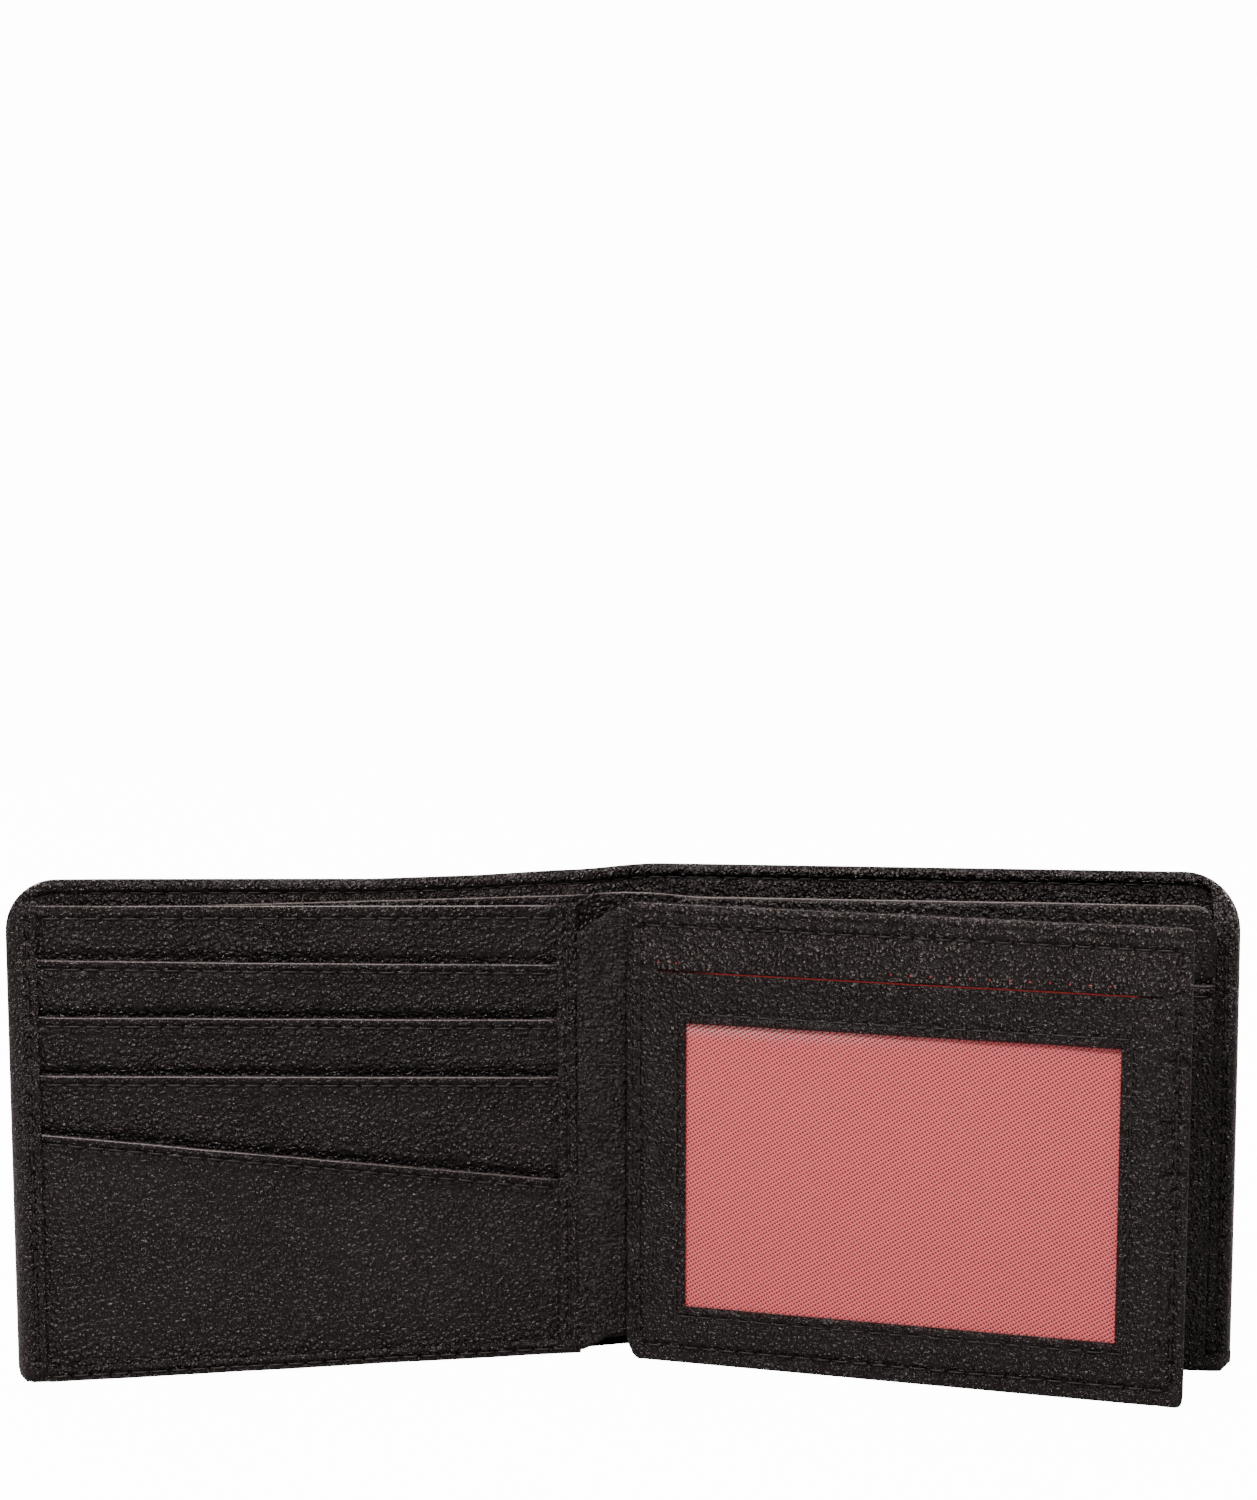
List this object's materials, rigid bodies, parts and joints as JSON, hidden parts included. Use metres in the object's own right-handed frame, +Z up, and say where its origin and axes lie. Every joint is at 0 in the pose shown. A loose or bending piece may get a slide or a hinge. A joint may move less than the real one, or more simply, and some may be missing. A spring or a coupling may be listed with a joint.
{
  "type": "bifold wallet",
  "caption": "Leather bifold wallet with a hinged clear-window ID flap, slip pockets for cards and a full-length banknote compartment, standing half open.",
  "frame": {"origin": "bottom centre of the bounding box of the half-open wallet", "axes": "+Z up along the fold, +X out along the right half, inside of the wallet facing -Y"},
  "size_m": [0.2152, 0.0352, 0.089],
  "materials": {
    "outer_leather": "pebbled, semi-matt with small glints",
    "inner_leather": "fine pebbled grain, semi-matt",
    "dark_lining": "fine woven lining",
    "red_lining": "twill",
    "window_film": "clear flexible film",
    "thread": "bonded sewing thread"
  },
  "bodies": {
    "right_half": {"cover_right": "outer_leather", "cover_lining_right": "dark_lining", "cover_top_hem_right": "outer_leather", "outer_hem_right": "inner_leather", "bottom_hem_right": "inner_leather", "note_wall_right": "inner_leather", "slip_pocket_right": "inner_leather", "top_band_right": "inner_leather", "side_seam_right": "inner_leather", "bottom_seam_right": "inner_leather", "inner_strip_right": "inner_leather", "cover_spine": "outer_leather", "spine_lining": "inner_leather", "thread_right_outer": "thread", "thread_right_slip_lip": "thread"},
    "left_half": {"cover_left": "outer_leather", "cover_lining_left": "dark_lining", "cover_top_hem_left": "outer_leather", "outer_hem_left": "inner_leather", "bottom_hem_left": "inner_leather", "inner_binding_left": "inner_leather", "side_seam_left": "inner_leather", "bottom_seam_left": "inner_leather", "note_wall_left": "inner_leather", "card_pocket_1": "inner_leather", "card_pocket_2": "inner_leather", "card_pocket_3": "inner_leather", "card_pocket_4": "inner_leather", "hinge_strip": "inner_leather", "thread_left_outer": "thread", "thread_left_bottom": "thread", "thread_left_inner": "thread", "thread_left_top": "thread"},
    "id_flap": {"flap_window_frame": "inner_leather", "flap_window_film": "window_film", "flap_red_lining": "red_lining", "flap_core": "dark_lining", "flap_back_wall": "inner_leather", "flap_back_pocket_1": "inner_leather", "flap_back_pocket_2": "inner_leather", "flap_back_pocket_3": "inner_leather", "flap_back_pocket_4": "inner_leather", "flap_hinge_roll": "inner_leather", "thread_flap_hinge": "thread", "thread_flap_top": "thread", "thread_flap_bottom": "thread", "thread_flap_outer": "thread", "thread_window": "thread"}
  },
  "joints": [
    {"name": "wallet_fold", "type": "hinge", "parent": "right_half", "child": "left_half", "pos_m": [-0.00072, 0.00754, 0], "axis": [0, 0, -1], "range_deg": [-156.5, 14.5], "deforming": ["cover_spine", "spine_lining"]},
    {"name": "id_flap_turn", "type": "hinge", "parent": "right_half", "child": "id_flap", "pos_m": [-0.00072, 0.00754, 0], "axis": [0, 0, -1], "range_deg": [-9.05, 156.4]}
  ]
}
